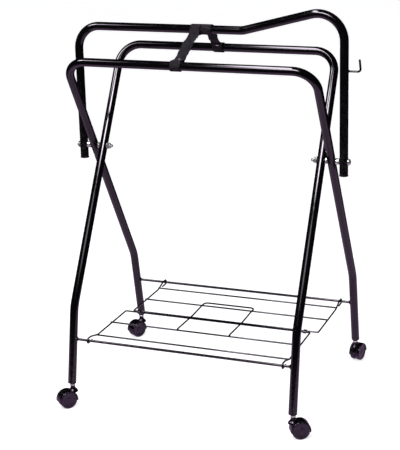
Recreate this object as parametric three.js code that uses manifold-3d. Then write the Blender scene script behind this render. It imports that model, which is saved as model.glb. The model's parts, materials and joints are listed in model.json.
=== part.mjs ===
// Folding saddle rack: two crossed tube frames and a ridge tube on one pivot line,
// a folding wire shelf between the legs, two webbing check straps and four twin-wheel casters.
// Millimetres, +Z up. +X runs along the rails towards the raised pommel end, +Y is the rear.
// The origin is on the floor, below the middle of the rack's overall box. The dimensions below are
// from the frames' middle, which is CENTRE_X away: the bridle hook reaches further out than a bolt head.

import * as THREE from 'three';
import { mergeVertices } from 'three/addons/utils/BufferGeometryUtils.js';
import Module from 'manifold-3d';

const wasm = await Module();
wasm.setup();

// ---------------------------------------------------------------- driving dimensions

const CENTRE_X = 10;
const FIT = 0.3; // gap between pieces that touch on the real rack

// Tube frames
const TUBE_R = 10;
const TUBE_WALL = 1.5;
const TUBE_SIDES = 12;
const TUBE_BORE_R = TUBE_R - TUBE_WALL;
const TUBE_ARC_STEP = THREE.MathUtils.degToRad(18); // largest turn between two rings of a bend
const PIVOT_Z = 590;
const OUTER_X = 300; // half width of the outer frame, whose rail is in front and whose feet are behind
const INNER_X = 276; // half width of the inner frame, its mirror image
const RIDGE_X = 329; // half width of the ridge tube
const LEG_SLOPE = THREE.MathUtils.degToRad(30); // from the vertical, above the leg bend
const RAIL_REACH = 265; // pivot to rail, along the leg
const BEND_REACH = 400; // pivot to leg bend, along the leg
const RAIL_BEND_R = 52;
const LEG_BEND_R = 90;
const FOOT_Y = 233;
const FOOT_Z = 62;

// Ridge tube
const RIDGE_Z = 883;
const RIDGE_END_Z = 559;
const RIDGE_BEND_R = 56;
const RAMP_X = 90; // where the ridge starts to rise to the pommel
const RAMP_ANGLE = THREE.MathUtils.degToRad(14.3);
const RAMP_BEND_R = 60;
const POMMEL_BEND_R = 61;

// Pivot bolts
const BOLT_R = 4;
const BOLT_HOLE_R = 4.7;
const BOLT_SIDES = 12;
const BOLT_HEAD_R = 7.5;
const BOLT_HEAD_H = 4.5;
const BOLT_RIM_H = 1.5; // straight part of the head, below its dome
const BOLT_DOME = { r: 5.2, h: 3.8 }; // a point on the dome
const BOLT_END_X = 252;
const WASHER_R = 8.5;
const WASHER_T = 1.6;
const SPACER_R = 7.5;
const NUT_R = 7.5; // across corners, halved
const NUT_H = 7;

// Shelf
const ROD_R = 3.1;
const ROD_Z = 166;
const WIRE_R = 2;
const WIRE_SIDES = 8;
const WIRE_ARC_STEP = THREE.MathUtils.degToRad(30);
const HINGE_DROP = 4.2; // shelf hinge below the rod centres
const CROSS_DROP = 2; // cross wires below the rod centres
const HOOK_R = 5.65; // wire centre to rod centre
const HOOK_FLAT = 13; // the wire runs level this far inboard of the rod
const SLOPE_END = 50; // and is down at the shelf's level this far inboard
const HOOK_RETURN = 20; // tail of a closed hook, under the rod
const HOOK_DROP = 5; // tip of an open hook below the rod centre
const HOOK_BEND_R = 5.5;
const CROSS_Y = [86, 171.5]; // cross wires, from the hinge line
const CROSS_OVERHANG = 2.5;
const WIRE_BEND_R = 4;
const SLOPE_BEND_R = 12;
const FRONT_SPAN = [-236, 248]; // side wires of the front half, in X
const REAR_SPAN = [-218, 266];
const EDGE_GAP = 7.2; // between the edge wires at the hinge; they stay clear when the halves rise
const CLIP_X = [-200, 234];
const CLIP_W = 8;
const CLIP_WALL = 1.2;
const CLIP_CLEARANCE = 0.4; // round the wires
const CLIP_SEGMENTS = 6;
const LOOP_SPAN = [-59, 74];
const LOOP_START_Y = -90;
const LOOP_DIP_Y = [-76, -EDGE_GAP, 2 * EDGE_GAP, 71]; // down to the hinge wires and up again
const LOOP_END_Y = 97;
const LOOP_DIP_BEND_R = 18;
const LOOP_BEND_R = 10;

// Bridle hook
const BRIDLE_R = 2.4;
const BRIDLE_Z = 799.5;
const BRIDLE_OUT = 28.5;
const BRIDLE_TIP = 28;
const BRIDLE_LEAN = 2.8; // the tip leans back towards the ridge
const BRIDLE_BEND_R = 6;

// Straps
const STRAP_W = 25;
const STRAP_T = 2;
const STRAP_LOOP_R = 10.7; // inside a loop
const LOOP_SIDES = 16;
const NEAR_STRAP_X = -22.5;
const FAR_STRAP_RIDGE_X = 4;
const FAR_STRAP_RAIL_X = -18;
const RIVET_REACH = 22; // rivet from the rail centre, along the strap
const RIVET_SHANK_R = 1.6;
const RIVET_HOLE_R = 2.1;
const RIVET_HEAD_R = 4;
const RIVET_FACE_R = 2.4; // flat of the head
const RIVET_HEAD_H = 1.2;

// Plugs in the tube ends
const PLUG_R = 7.8;
const PLUG_CHAMFER = 1;
const RIDGE_PLUG_L = 18;
const RIDGE_PLUG_FLANGE_R = 11.3;
const RIDGE_PLUG_FLANGE_T = 3;
const RIDGE_PLUG_FOOT_R = 9.3;
const SOCKET_L = 25;
const SOCKET_FLANGE_T = 2.5;
const STEM_BORE_R = 4.4;

// Casters
const WHEEL_R = 21; // axle centre to the flats of the tread
const WHEEL_SIDES = 16;
const WHEEL_W = 10;
const TREAD_CHAMFER = 1;
const WHEEL_INNER_Y = 2.7; // inner face from the caster's middle plane
const WHEEL_BORE_R = 3.5;
const WHEEL_WALL = 2; // outer face, closed over the axle's end
const DISH_R = 15; // the outer face is dished inside this
const DISH = 0.6;
const AXLE_R = 3;
const AXLE_END_Y = 10;
const TRAIL = 16; // swivel axis to axle
const HOOD_R = 23.3;
const HOOD_INNER_R = 22.1;
const HOOD_SEGMENTS = 9;
const HOOD_DIP = THREE.MathUtils.degToRad(8); // how far the hood reaches below the axle
const LIP_R = 18.8; // the hood's lips overlap the wheels' faces down to this radius
const LIP_INNER_Y = 13.1;
const LIP_T = 1.1;
const HOOD_W = 2 * (LIP_INNER_Y + LIP_T);
const WEB_T = 4.4;
const WEB_HUB_R = 8;
const BOSS_R = 7;
const BOSS_SIDES = 12;
const BOSS_Z = [34, 53];
const STEM_R = 3.9;
const STEM_Z = [46.5, 82];
const COLLAR_R = 6.2;
const COLLAR_Z = [53.5, 57.2];

// ---------------------------------------------------------------- finishes

const finish = (color, roughness, metalness) =>
  new THREE.MeshStandardMaterial({ color, roughness, metalness });
const FINISHES = {
  enamel: finish('#15121a', 0.25, 0.1),
  zinc: finish('#c9c9cc', 0.3, 1),
  plastic: finish('#1b191e', 0.45, 0),
  webbing: finish('#211f26', 0.9, 0),
};

const rack = new THREE.Group();
rack.position.x = -CENTRE_X;

/** Adds a named piece of the rack to a group. */
function addPiece(name, geometry, finishName, parent = rack) {
  const mesh = new THREE.Mesh(geometry, FINISHES[finishName]);
  mesh.name = name;
  parent.add(mesh);
  return mesh;
}

// ---------------------------------------------------------------- solids

/** A closed geometry as a manifold solid. */
function toSolid(geometry) {
  const bare = geometry.clone();
  bare.deleteAttribute('normal');
  bare.deleteAttribute('uv');
  const merged = mergeVertices(bare);
  const vertProperties = new Float32Array(merged.attributes.position.array);
  const triVerts = new Uint32Array(merged.index.array);
  return new wasm.Manifold(new wasm.Mesh({ numProp: 3, vertProperties, triVerts }));
}

/** A manifold solid as a geometry. */
function toGeometry(solid) {
  const { vertProperties, triVerts } = solid.getMesh();
  const geometry = new THREE.BufferGeometry();
  geometry.setAttribute('position', new THREE.BufferAttribute(vertProperties, 3));
  geometry.setIndex(new THREE.BufferAttribute(triVerts, 1));
  return geometry;
}

/** Joins geometries, then cuts others away. */
function combine(joined, cut = []) {
  let solid = toSolid(joined[0]);
  for (const geometry of joined.slice(1)) {
    solid = solid.add(toSolid(geometry));
  }
  for (const geometry of cut) {
    solid = solid.subtract(toSolid(geometry));
  }
  return toGeometry(solid);
}

/** The corners of a regular polygon, with a flat side across the +X axis. */
function polygon(radius, sides) {
  return Array.from({ length: sides }, (_, i) => {
    const angle = ((i + 0.5) * 2 * Math.PI) / sides;
    return new THREE.Vector2(radius * Math.cos(angle), radius * Math.sin(angle));
  });
}

/** A round section, with a bore if one is given. */
function roundSection(radius, sides, boreRadius = 0) {
  const section = new THREE.Shape(polygon(radius, sides));
  if (boreRadius > 0) {
    section.holes.push(new THREE.Path(polygon(boreRadius, sides)));
  }
  return section;
}

/** A curve that passes through each vertex at equal steps and mitres the section there. */
class VertexPath extends THREE.Curve {
  constructor(vertices) {
    super();
    this.vertices = vertices;
  }

  getPoint(t, target = new THREE.Vector3()) {
    const place = t * (this.vertices.length - 1);
    const i = Math.min(Math.floor(place + 1e-6), this.vertices.length - 2);
    return target.lerpVectors(this.vertices[i], this.vertices[i + 1], place - i);
  }

  getPointAt(u, target) {
    return this.getPoint(u, target);
  }

  getTangent(t, target = new THREE.Vector3()) {
    const last = this.vertices.length - 1;
    const i = Math.round(t * last);
    const before = this.direction(Math.max(i - 1, 0));
    const after = this.direction(Math.min(i, last - 1));
    return target.addVectors(before, after).normalize();
  }

  getTangentAt(u, target) {
    return this.getTangent(u, target);
  }

  direction(i) {
    return new THREE.Vector3().subVectors(this.vertices[i + 1], this.vertices[i]).normalize();
  }
}

/** Vertices along a bent line: corners are [x, y, z, bend radius], and the ends have no radius. */
function bentLine(corners, arcStep) {
  const points = corners.map(([x, y, z]) => new THREE.Vector3(x, y, z));
  const vertices = [points[0]];
  for (let i = 1; i < points.length - 1; i += 1) {
    const radius = corners[i][3];
    const back = new THREE.Vector3().subVectors(points[i - 1], points[i]).normalize();
    const ahead = new THREE.Vector3().subVectors(points[i + 1], points[i]).normalize();
    const turn = Math.PI - back.angleTo(ahead);
    const start = points[i].clone().addScaledVector(back, radius * Math.tan(turn / 2));
    const toCentre = new THREE.Vector3().addVectors(back, ahead).normalize();
    const centre = points[i].clone().addScaledVector(toCentre, radius / Math.cos(turn / 2));
    const spoke = new THREE.Vector3().subVectors(start, centre);
    const axis = new THREE.Vector3().crossVectors(ahead, back).normalize();
    const steps = Math.ceil(turn / arcStep);
    for (let k = 0; k <= steps; k += 1) {
      const reached = spoke.clone().applyAxisAngle(axis, (turn * k) / steps);
      vertices.push(reached.add(centre));
    }
  }
  vertices.push(points[points.length - 1]);
  return vertices;
}

/** A section swept along vertices. */
function sweep(section, vertices) {
  return new THREE.ExtrudeGeometry(section, {
    steps: vertices.length - 1,
    extrudePath: new VertexPath(vertices),
    bevelEnabled: false,
  });
}

/** The tube of a frame or the ridge, bent at the corners and drilled on the pivot line at both ends. */
function drilledTube(corners) {
  const tube = sweep(roundSection(TUBE_R, TUBE_SIDES, TUBE_BORE_R), bentLine(corners, TUBE_ARC_STEP));
  const reach = RIDGE_X + 2 * TUBE_R;
  return combine([tube], [barX(BOLT_HOLE_R, -reach, reach, 0, PIVOT_Z, BOLT_SIDES)]);
}

/** A bent wire. */
function wire(corners, radius = WIRE_R) {
  return sweep(roundSection(radius, WIRE_SIDES), bentLine(corners, WIRE_ARC_STEP));
}

/** A straight round bar in X. */
function barX(radius, x0, x1, y, z, sides = WIRE_SIDES) {
  return sweep(roundSection(radius, sides), [new THREE.Vector3(x0, y, z), new THREE.Vector3(x1, y, z)]);
}

/** A turned piece about +Z: a profile of [radius, height] that ends on the axis or is a closed ring. */
function turned(profile, sides) {
  const outline = profile[0][0] === 0 ? profile : [...profile, profile[0]];
  const points = outline.map(([r, h]) => new THREE.Vector2(r, h));
  const geometry = new THREE.LatheGeometry(points, sides);
  geometry.rotateX(Math.PI / 2);
  return geometry;
}

/** A plain ring or tube about X between two X positions, on the pivot line. */
function pivotRing(radius, boreRadius, x0, x1, sides = BOLT_SIDES) {
  return sweep(roundSection(radius, sides, boreRadius), [
    new THREE.Vector3(x0, 0, PIVOT_Z),
    new THREE.Vector3(x1, 0, PIVOT_Z),
  ]);
}

// ---------------------------------------------------------------- tube frames

/** A point on a leg's upper line, at a distance from the pivot towards the rail. */
function onLeg(reach, rear) {
  return { y: rear * -reach * Math.sin(LEG_SLOPE), z: PIVOT_Z + reach * Math.cos(LEG_SLOPE) };
}

const BEND = onLeg(-BEND_REACH, 1);
const FOOT_TILT = Math.atan2(FOOT_Y - BEND.y, BEND.z - FOOT_Z);

/** One frame: foot, leg, rail, leg and foot in one bent tube. rear is 1 if its feet are behind. */
function frameTube(halfWidth, rear) {
  const rail = onLeg(RAIL_REACH, rear);
  const bend = onLeg(-BEND_REACH, rear);
  const side = (x) => [
    [x, rear * FOOT_Y, FOOT_Z],
    [x, bend.y, bend.z, LEG_BEND_R],
    [x, rail.y, rail.z, RAIL_BEND_R],
  ];
  return drilledTube([...side(-halfWidth), ...side(halfWidth).reverse()]);
}

/** The ridge tube, level and then rising to the pommel. */
function ridgeTube() {
  const rise = (RIDGE_X - RAMP_X) * Math.tan(RAMP_ANGLE);
  return drilledTube([
    [-RIDGE_X, 0, RIDGE_END_Z],
    [-RIDGE_X, 0, RIDGE_Z, RIDGE_BEND_R],
    [RAMP_X, 0, RIDGE_Z, RAMP_BEND_R],
    [RIDGE_X, 0, RIDGE_Z + rise, POMMEL_BEND_R],
    [RIDGE_X, 0, RIDGE_END_Z],
  ]);
}

addPiece('outer_frame_tube', frameTube(OUTER_X, 1), 'enamel');
addPiece('inner_frame_tube', frameTube(INNER_X, -1), 'enamel');
addPiece('ridge_tube', ridgeTube(), 'enamel');

// ---------------------------------------------------------------- ridge fittings

/** A push-in plug with a flared foot, for an end of the ridge tube. */
function ridgePlug() {
  const top = FIT + RIDGE_PLUG_L;
  return turned(
    [
      [0, -RIDGE_PLUG_FLANGE_T],
      [RIDGE_PLUG_FOOT_R, -RIDGE_PLUG_FLANGE_T],
      [RIDGE_PLUG_FLANGE_R, -RIDGE_PLUG_FLANGE_T / 2],
      [TUBE_R, -FIT],
      [PLUG_R, -FIT],
      [PLUG_R, top - PLUG_CHAMFER],
      [PLUG_R - PLUG_CHAMFER, top],
      [0, top],
    ],
    TUBE_SIDES,
  );
}

/** The wire hook for a bridle, on the outside of the ridge tube's pommel end. */
function bridleHook() {
  const rootX = RIDGE_X + TUBE_R + FIT;
  const elbowX = rootX + BRIDLE_OUT;
  const tip = [elbowX - BRIDLE_LEAN, 0, BRIDLE_Z + BRIDLE_TIP];
  return wire([[rootX, 0, BRIDLE_Z], [elbowX, 0, BRIDLE_Z, BRIDLE_BEND_R], tip], BRIDLE_R);
}

for (const [end, x] of [['left', -RIDGE_X], ['right', RIDGE_X]]) {
  addPiece(`ridge_end_plug_${end}`, ridgePlug(), 'plastic').position.set(x, 0, RIDGE_END_Z);
}
addPiece('bridle_hook', bridleHook(), 'enamel');

// ---------------------------------------------------------------- pivot bolts

/** A domed bolt from outside the ridge tube to inside the inner frame. */
function pivotBolt(headX) {
  const profile = [
    [0, BOLT_END_X],
    [BOLT_R, BOLT_END_X],
    [BOLT_R, headX],
    [BOLT_HEAD_R, headX],
    [BOLT_HEAD_R, headX + BOLT_RIM_H],
    [BOLT_DOME.r, headX + BOLT_DOME.h],
    [0, headX + BOLT_HEAD_H],
  ];
  const geometry = turned(profile, BOLT_SIDES);
  geometry.rotateY(Math.PI / 2);
  geometry.translate(0, 0, PIVOT_Z);
  return geometry;
}

/** The pieces on one bolt, listed from the head inwards. */
function pivotPieces() {
  const ridgeOut = RIDGE_X + TUBE_R + FIT;
  const innerIn = INNER_X - TUBE_R - FIT;
  const nutOut = innerIn - WASHER_T - FIT;
  const ring = (radius, x0, x1) => pivotRing(radius, BOLT_HOLE_R, x0, x1);
  return {
    bolt: pivotBolt(ridgeOut + WASHER_T + FIT),
    head_washer: ring(WASHER_R, ridgeOut, ridgeOut + WASHER_T),
    ridge_spacer: ring(SPACER_R, OUTER_X + TUBE_R + FIT, RIDGE_X - TUBE_R - FIT),
    frame_spacer: ring(SPACER_R, INNER_X + TUBE_R + FIT, OUTER_X - TUBE_R - FIT),
    nut_washer: ring(WASHER_R, innerIn - WASHER_T, innerIn),
    nut: sweep(hexSection(), [
      new THREE.Vector3(nutOut - NUT_H, 0, PIVOT_Z),
      new THREE.Vector3(nutOut, 0, PIVOT_Z),
    ]),
  };
}

/** A hexagon with a round hole. */
function hexSection() {
  const section = new THREE.Shape(polygon(NUT_R, 6));
  section.holes.push(new THREE.Path(polygon(BOLT_HOLE_R, BOLT_SIDES)));
  return section;
}

for (const [end, turn] of [['right', 0], ['left', Math.PI]]) {
  const group = new THREE.Group();
  group.rotation.z = turn;
  rack.add(group);
  for (const [name, geometry] of Object.entries(pivotPieces())) {
    addPiece(`pivot_${name}_${end}`, geometry, 'zinc', group);
  }
}

// ---------------------------------------------------------------- folding shelf

const ROD_Y = BEND.y + (BEND.z - ROD_Z) * Math.tan(FOOT_TILT); // on the lower legs' centre lines

/** The rod between one frame's legs. */
function shelfRod(halfWidth, rear) {
  const reach = halfWidth - TUBE_R - FIT;
  return barX(ROD_R, -reach, reach, rear * ROD_Y, ROD_Z);
}

/** The end of a side wire, from its hook's tip to where it lies level: [inboard, above rod, bend radius]. */
function hookEnd(closed) {
  const over = [
    [-HOOK_R, HOOK_R, HOOK_BEND_R],
    [HOOK_FLAT, HOOK_R, SLOPE_BEND_R],
    [SLOPE_END, -HINGE_DROP, SLOPE_BEND_R],
  ];
  if (!closed) {
    return [[-HOOK_R, -HOOK_DROP], ...over];
  }
  return [[HOOK_RETURN, -HOOK_R], [-HOOK_R, -HOOK_R, HOOK_BEND_R], ...over];
}

/** Half of the shelf: a U of wire hooked on a rod, and its cross wires. rear is 1 or -1. */
function shelfPanel([x0, x1], edgeY, rear, closedHooks) {
  const side = (x) => hookEnd(closedHooks).map(([u, n, r]) => [x, rear * (ROD_Y - u), ROD_Z + n, r]);
  const edgeZ = ROD_Z - HINGE_DROP;
  const edge = [x0, x1].map((x) => [x, edgeY, edgeZ, WIRE_BEND_R]);
  const frame = wire([...side(x0), ...edge, ...side(x1).reverse()]);
  const crossWires = CROSS_Y.map((y) =>
    barX(WIRE_R, x0 - CROSS_OVERHANG, x1 + CROSS_OVERHANG, rear * y, ROD_Z - CROSS_DROP),
  );
  return combine([frame, ...crossWires]);
}

/** A crimped loop round both edge wires, loose on the front one. */
function hingeClip(x) {
  const bore = WIRE_R + CLIP_CLEARANCE;
  const outline = (radius) => {
    const shape = new THREE.Shape();
    shape.absarc(0, -EDGE_GAP / 2, radius, -Math.PI, 0);
    shape.absarc(0, EDGE_GAP / 2, radius, 0, Math.PI);
    shape.closePath();
    return shape;
  };
  const section = outline(bore + CLIP_WALL);
  section.holes.push(outline(bore));
  const clip = new THREE.ExtrudeGeometry(section, {
    depth: CLIP_W,
    bevelEnabled: false,
    curveSegments: CLIP_SEGMENTS,
  });
  clip.rotateY(Math.PI / 2);
  clip.translate(x - CLIP_W / 2, EDGE_GAP / 2, ROD_Z - HINGE_DROP);
  return clip;
}

/** The U of wire on the front half that bears on the rear half and keeps the shelf from sagging. */
function stopLoop() {
  const crossTop = ROD_Z - CROSS_DROP + 2 * WIRE_R + FIT;
  const hingeTop = ROD_Z - HINGE_DROP + 2 * WIRE_R + FIT;
  const leg = (x) => [
    [x, LOOP_START_Y, crossTop],
    [x, LOOP_DIP_Y[0], crossTop, LOOP_DIP_BEND_R],
    [x, LOOP_DIP_Y[1], hingeTop, LOOP_DIP_BEND_R],
    [x, LOOP_DIP_Y[2], hingeTop, LOOP_DIP_BEND_R],
    [x, LOOP_DIP_Y[3], crossTop, LOOP_DIP_BEND_R],
    [x, LOOP_END_Y, crossTop, LOOP_BEND_R],
  ];
  return wire([...leg(LOOP_SPAN[0]), ...leg(LOOP_SPAN[1]).reverse()]);
}

addPiece('front_shelf_rod', shelfRod(INNER_X, -1), 'enamel');
addPiece('rear_shelf_rod', shelfRod(OUTER_X, 1), 'enamel');
addPiece('front_shelf_panel', shelfPanel(FRONT_SPAN, 0, -1, false), 'enamel');
addPiece('rear_shelf_panel', shelfPanel(REAR_SPAN, EDGE_GAP, 1, true), 'enamel');
addPiece('shelf_stop_loop', stopLoop(), 'enamel');
addPiece('shelf_hinge_clip_left', hingeClip(CLIP_X[0]), 'enamel');
addPiece('shelf_hinge_clip_right', hingeClip(CLIP_X[1]), 'enamel');

// ---------------------------------------------------------------- check straps

/** A rivet through a strap, along +Z, centred on the strap. */
function rivet() {
  const face = STRAP_T / 2 + FIT;
  const top = face + RIVET_HEAD_H;
  return turned(
    [
      [0, -top],
      [RIVET_FACE_R, -top],
      [RIVET_HEAD_R, -face],
      [RIVET_SHANK_R, -face],
      [RIVET_SHANK_R, face],
      [RIVET_HEAD_R, face],
      [RIVET_FACE_R, top],
      [0, top],
    ],
    BOLT_SIDES,
  );
}

/** A strap with a loop round a rail and a loop round the ridge, and its rivet. */
function addStrap(name, rail, railX, ridgeX) {
  const dy = -rail.y;
  const dz = RIDGE_Z - rail.z;
  const span = Math.hypot(dy, dz);
  const loopSection = roundSection(STRAP_LOOP_R + STRAP_T, LOOP_SIDES, STRAP_LOOP_R);
  const loop = (x, along) => {
    const ends = [x - STRAP_W / 2, x + STRAP_W / 2].map((endX) => new THREE.Vector3(endX, along, 0));
    return sweep(loopSection, ends);
  };
  const inLoop = STRAP_LOOP_R + STRAP_T / 2; // where the straight run ends, inside the loop's wall
  const run = new THREE.Shape([
    new THREE.Vector2(railX - STRAP_W / 2, inLoop),
    new THREE.Vector2(railX + STRAP_W / 2, inLoop),
    new THREE.Vector2(ridgeX + STRAP_W / 2, span - inLoop),
    new THREE.Vector2(ridgeX - STRAP_W / 2, span - inLoop),
  ]);
  const web = new THREE.ExtrudeGeometry(run, { depth: STRAP_T, bevelEnabled: false });
  web.translate(0, 0, -STRAP_T / 2);
  const rivetX = railX + ((ridgeX - railX) * RIVET_REACH) / span;
  const hole = new THREE.CylinderGeometry(RIVET_HOLE_R, RIVET_HOLE_R, 3 * STRAP_T, BOLT_SIDES);
  hole.rotateX(Math.PI / 2);
  hole.translate(rivetX, RIVET_REACH, 0);
  const group = new THREE.Group();
  group.position.set(0, rail.y, rail.z);
  group.rotation.x = Math.atan2(dz, dy);
  rack.add(group);
  addPiece(`${name}_strap`, combine([loop(railX, 0), loop(ridgeX, span), web], [hole]), 'webbing', group);
  addPiece(`${name}_strap_rivet`, rivet(), 'zinc', group).position.set(rivetX, RIVET_REACH, 0);
}

addStrap('near', onLeg(RAIL_REACH, 1), NEAR_STRAP_X, NEAR_STRAP_X);
addStrap('far', onLeg(RAIL_REACH, -1), FAR_STRAP_RAIL_X, FAR_STRAP_RIDGE_X);

// ---------------------------------------------------------------- casters

/** The plug in a leg's end, in the leg's own line, with an upright bore for the stem. */
function casterSocket(tilt) {
  const top = FIT + SOCKET_L;
  const plug = turned(
    [
      [0, -FIT - SOCKET_FLANGE_T],
      [TUBE_R - PLUG_CHAMFER, -FIT - SOCKET_FLANGE_T],
      [TUBE_R, -FIT - SOCKET_FLANGE_T / 2],
      [TUBE_R, -FIT],
      [PLUG_R, -FIT],
      [PLUG_R, top - PLUG_CHAMFER],
      [PLUG_R - PLUG_CHAMFER, top],
      [0, top],
    ],
    TUBE_SIDES,
  );
  plug.rotateX(tilt);
  const bore = new THREE.CylinderGeometry(STEM_BORE_R, STEM_BORE_R, 4 * SOCKET_L, BOLT_SIDES);
  bore.rotateX(Math.PI / 2);
  bore.translate(0, stemOffset(tilt), 0);
  return combine([plug], [bore]);
}

/** How far the upright stem stands from the leg's end, so that it crosses the socket's middle. */
function stemOffset(tilt) {
  return -Math.sin(tilt) * (SOCKET_L / 2);
}

/** The steel stem with its collar. */
function casterStem() {
  return turned(
    [
      [0, STEM_Z[0]],
      [STEM_R, STEM_Z[0]],
      [STEM_R, COLLAR_Z[0]],
      [COLLAR_R, COLLAR_Z[0]],
      [COLLAR_R, COLLAR_Z[1]],
      [STEM_R, COLLAR_Z[1]],
      [STEM_R, STEM_Z[1]],
      [0, STEM_Z[1]],
    ],
    BOLT_SIDES,
  );
}

/** A flat outline in X and height, made into a plate across the caster, in the middle or at middleY. */
function acrossCaster(shape, width, middleY = 0) {
  const plate = new THREE.ExtrudeGeometry(shape, {
    depth: width,
    bevelEnabled: false,
    curveSegments: HOOD_SEGMENTS,
  });
  plate.rotateX(Math.PI / 2);
  plate.translate(TRAIL, middleY + width / 2, WHEEL_R);
  return plate;
}

/** The hood's outline down to a radius. */
function hoodArch(innerR) {
  const arch = new THREE.Shape();
  arch.absarc(0, 0, HOOD_R, -HOOD_DIP, Math.PI + HOOD_DIP);
  arch.absarc(0, 0, innerR, Math.PI + HOOD_DIP, -HOOD_DIP, true);
  arch.closePath();
  return arch;
}

/** The moulded housing: a lipped hood over both wheels, a web between them and the swivel boss. */
function casterHousing() {
  const lipY = LIP_INNER_Y + LIP_T / 2;
  const lips = [-lipY, lipY].map((y) => acrossCaster(hoodArch(LIP_R), LIP_T, y));
  const web = new THREE.Shape();
  web.absarc(0, 0, (HOOD_R + HOOD_INNER_R) / 2, 0, Math.PI);
  web.absarc(0, 0, WEB_HUB_R, Math.PI, 2 * Math.PI);
  web.closePath();
  const boss = new THREE.CylinderGeometry(BOSS_R, BOSS_R, BOSS_Z[1] - BOSS_Z[0], BOSS_SIDES);
  boss.rotateX(Math.PI / 2);
  boss.translate(0, 0, (BOSS_Z[0] + BOSS_Z[1]) / 2);
  const cavity = new THREE.CylinderGeometry(HOOD_INNER_R, HOOD_INNER_R, HOOD_W, 2 * HOOD_SEGMENTS);
  cavity.translate(TRAIL, 0, WHEEL_R);
  const stemBore = new THREE.CylinderGeometry(STEM_BORE_R, STEM_BORE_R, 2 * BOSS_R, BOLT_SIDES);
  stemBore.rotateX(Math.PI / 2);
  stemBore.translate(0, 0, BOSS_Z[1]);
  const axleBore = new THREE.CylinderGeometry(WHEEL_BORE_R, WHEEL_BORE_R, HOOD_W, BOLT_SIDES);
  axleBore.translate(TRAIL, 0, WHEEL_R);
  const clearBoss = combine([boss], [cavity]);
  const hood = acrossCaster(hoodArch(HOOD_INNER_R), HOOD_W);
  return combine([hood, ...lips, clearBoss, acrossCaster(web, WEB_T)], [stemBore, axleBore]);
}

/** The axle, whose ends are inside the wheels. */
function casterAxle() {
  const axle = new THREE.CylinderGeometry(AXLE_R, AXLE_R, 2 * AXLE_END_Y, BOLT_SIDES);
  axle.translate(TRAIL, 0, WHEEL_R);
  return axle;
}

/** One wheel, on the side of the caster that side (1 or -1) gives, with a flat of its tread down. */
function casterWheel(side) {
  const cornerR = WHEEL_R / Math.cos(Math.PI / WHEEL_SIDES);
  const inner = WHEEL_INNER_Y;
  const outer = WHEEL_INNER_Y + WHEEL_W;
  const wheel = turned(
    [
      [0, outer - WHEEL_WALL],
      [WHEEL_BORE_R, outer - WHEEL_WALL],
      [WHEEL_BORE_R, inner],
      [cornerR, inner],
      [cornerR, outer - TREAD_CHAMFER],
      [cornerR - TREAD_CHAMFER, outer],
      [DISH_R, outer],
      [DISH_R - DISH, outer - DISH],
      [0, outer - DISH],
    ],
    WHEEL_SIDES,
  );
  wheel.rotateZ(Math.PI / WHEEL_SIDES);
  wheel.rotateX((-side * Math.PI) / 2);
  wheel.translate(TRAIL, 0, WHEEL_R);
  return wheel;
}

// Each caster's leg, and the way it trails, as seen from above, counterclockwise from +X.
const CASTERS = [
  { place: 'front_left', x: -INNER_X, rear: -1, heading: -129 },
  { place: 'front_right', x: INNER_X, rear: -1, heading: 30 },
  { place: 'rear_left', x: -OUTER_X, rear: 1, heading: -120 },
  { place: 'rear_right', x: OUTER_X, rear: 1, heading: 78 },
];

for (const { place, x, rear, heading } of CASTERS) {
  const tilt = rear * FOOT_TILT;
  const socket = addPiece(`caster_socket_${place}`, casterSocket(tilt), 'plastic');
  socket.position.set(x, rear * FOOT_Y, FOOT_Z);
  const caster = new THREE.Group();
  caster.position.set(x, rear * FOOT_Y + stemOffset(tilt), 0);
  caster.rotation.z = THREE.MathUtils.degToRad(heading);
  rack.add(caster);
  addPiece(`caster_stem_${place}`, casterStem(), 'zinc', caster);
  addPiece(`caster_housing_${place}`, casterHousing(), 'plastic', caster);
  addPiece(`caster_axle_${place}`, casterAxle(), 'zinc', caster);
  addPiece(`caster_wheel_${place}_a`, casterWheel(1), 'plastic', caster);
  addPiece(`caster_wheel_${place}_b`, casterWheel(-1), 'plastic', caster);
}

export default rack;
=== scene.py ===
"""Looks of the folding saddle rack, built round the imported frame: smooth bent tubes, welded shelf wires,
zinc fittings, webbing check straps and twin-wheel casters. Metres, in the row frame: +Z up, +X towards
the pommel end, +Y to the rear."""

import json
import math

import bmesh
import bpy
from mathutils import Matrix, Vector, noise

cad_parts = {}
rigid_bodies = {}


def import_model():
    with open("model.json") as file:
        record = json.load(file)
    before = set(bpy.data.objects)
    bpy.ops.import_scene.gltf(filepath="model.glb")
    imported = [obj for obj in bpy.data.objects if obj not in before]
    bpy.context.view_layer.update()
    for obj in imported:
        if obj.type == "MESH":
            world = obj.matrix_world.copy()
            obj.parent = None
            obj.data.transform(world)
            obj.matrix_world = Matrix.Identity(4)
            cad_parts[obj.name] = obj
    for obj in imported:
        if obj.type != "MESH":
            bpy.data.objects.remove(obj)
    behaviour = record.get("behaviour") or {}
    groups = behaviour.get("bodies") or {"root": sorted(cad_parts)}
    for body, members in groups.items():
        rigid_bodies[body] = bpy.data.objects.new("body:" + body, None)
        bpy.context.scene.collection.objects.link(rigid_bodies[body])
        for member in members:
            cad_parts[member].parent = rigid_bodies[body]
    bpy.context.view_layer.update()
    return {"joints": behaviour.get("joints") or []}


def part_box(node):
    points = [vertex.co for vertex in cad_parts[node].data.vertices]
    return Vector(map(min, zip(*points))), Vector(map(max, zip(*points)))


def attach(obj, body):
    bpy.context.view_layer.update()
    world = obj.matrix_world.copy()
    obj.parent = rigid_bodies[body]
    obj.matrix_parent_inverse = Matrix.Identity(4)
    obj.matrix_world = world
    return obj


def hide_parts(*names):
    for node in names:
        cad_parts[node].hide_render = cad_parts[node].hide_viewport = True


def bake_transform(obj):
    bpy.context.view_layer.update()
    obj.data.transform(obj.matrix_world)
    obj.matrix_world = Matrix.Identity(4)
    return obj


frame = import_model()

# ------------------------------------------------------------------ places taken from the frame

joint = {j["name"]: j for j in frame["joints"]}


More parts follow.
